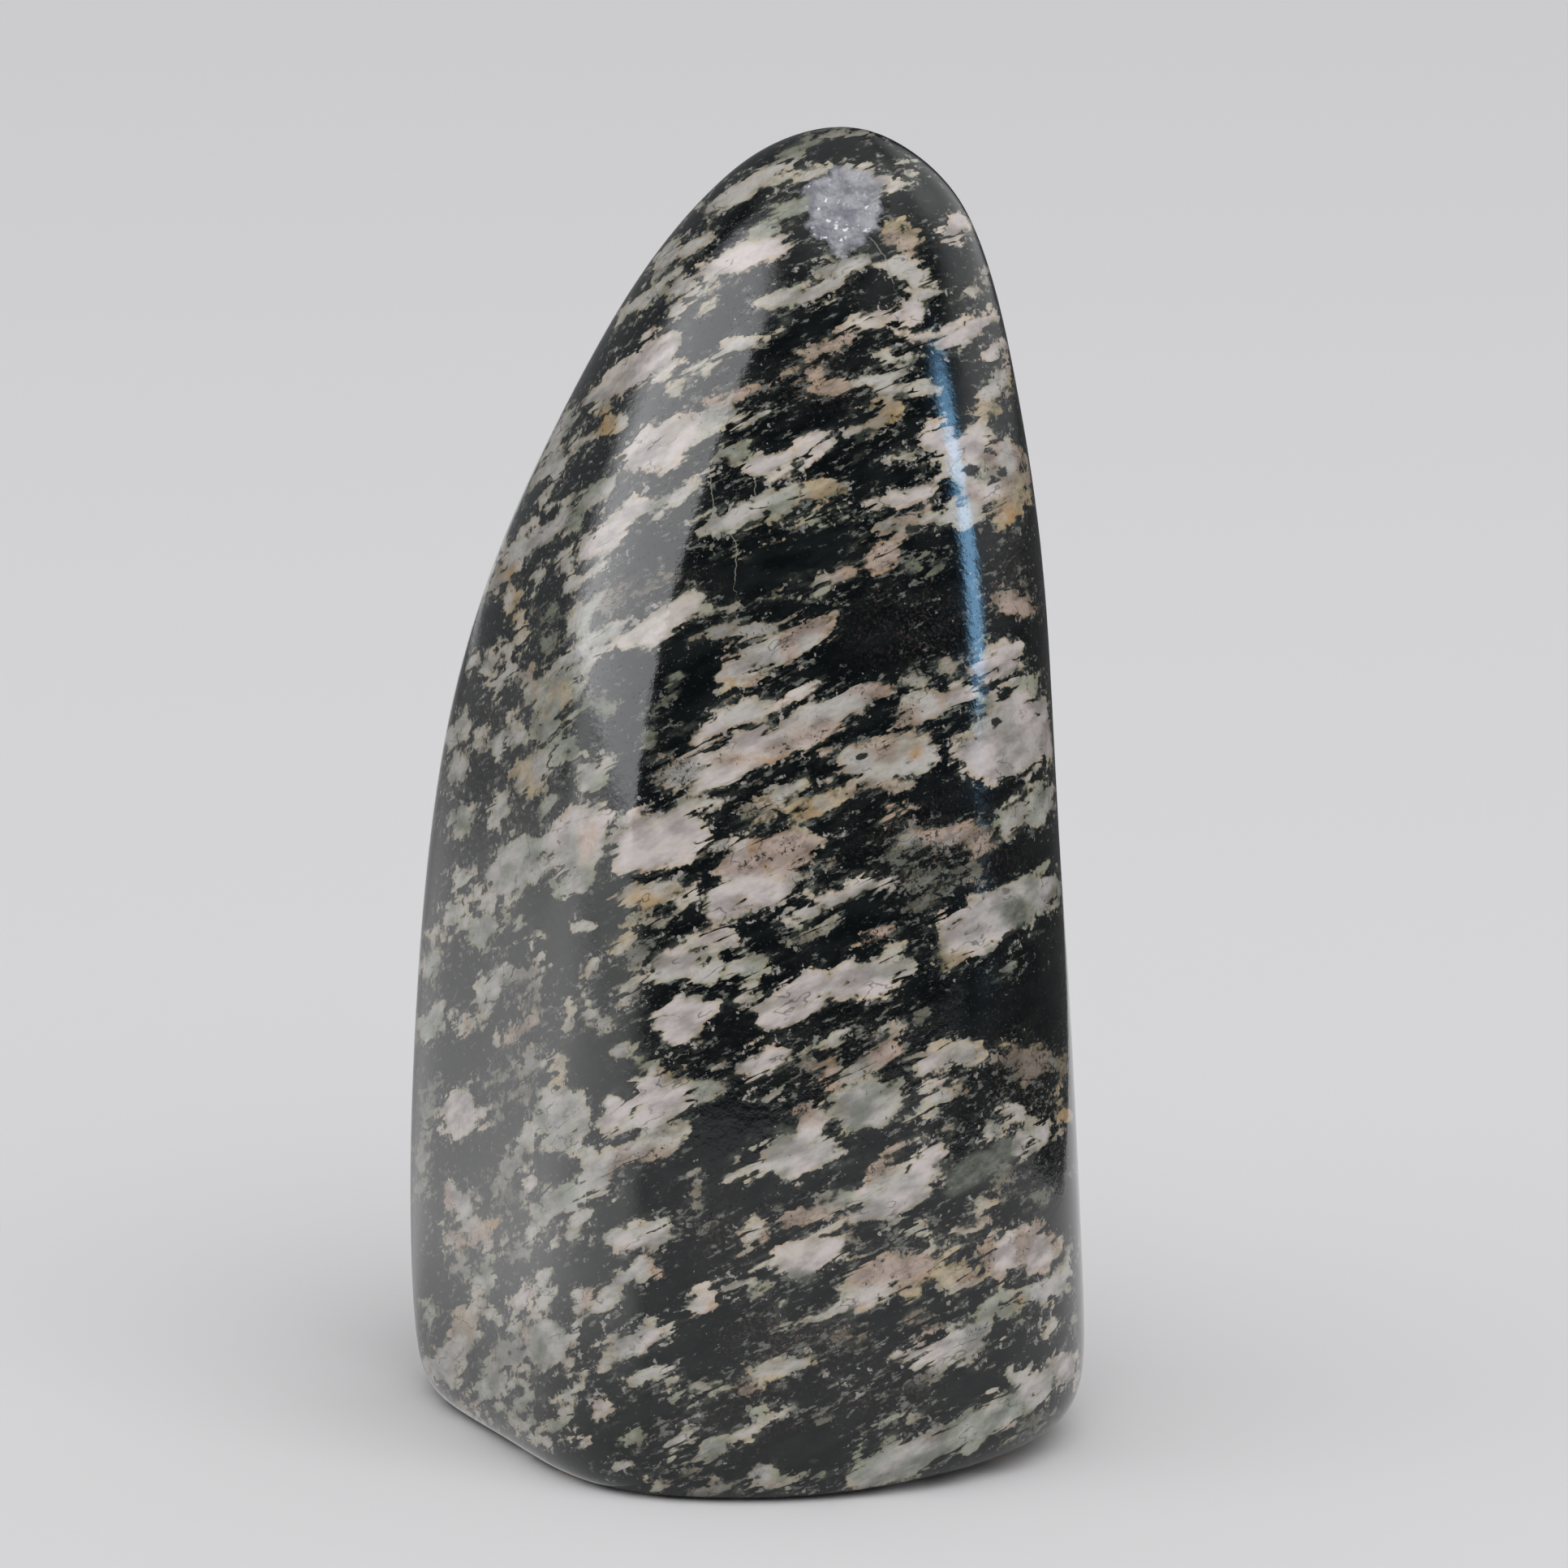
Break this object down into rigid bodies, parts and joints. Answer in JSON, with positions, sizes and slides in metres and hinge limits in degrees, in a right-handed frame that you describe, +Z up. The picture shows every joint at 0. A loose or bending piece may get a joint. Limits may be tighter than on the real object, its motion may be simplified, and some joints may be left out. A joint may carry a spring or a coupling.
{
  "type": "zebra calcite freeform",
  "caption": "Polished freeform of dark foliated rock with pale ragged lenses, standing upright on a small ground foot as a display stone.",
  "frame": {"origin": "middle of the stone's box, on the level of the surface that its foot rests on", "axes": "+Z up from the foot to the tip; the broad front looks along -Y; +X to the right of that front"},
  "size_m": [0.0684, 0.06, 0.13],
  "materials": {
    "polished_rock": "high hand polish over a near-black, slightly green matrix with cream, pinkish white and pale green ragged lenses"
  },
  "bodies": {
    "root": {"stone": "polished_rock"}
  },
  "joints": []
}
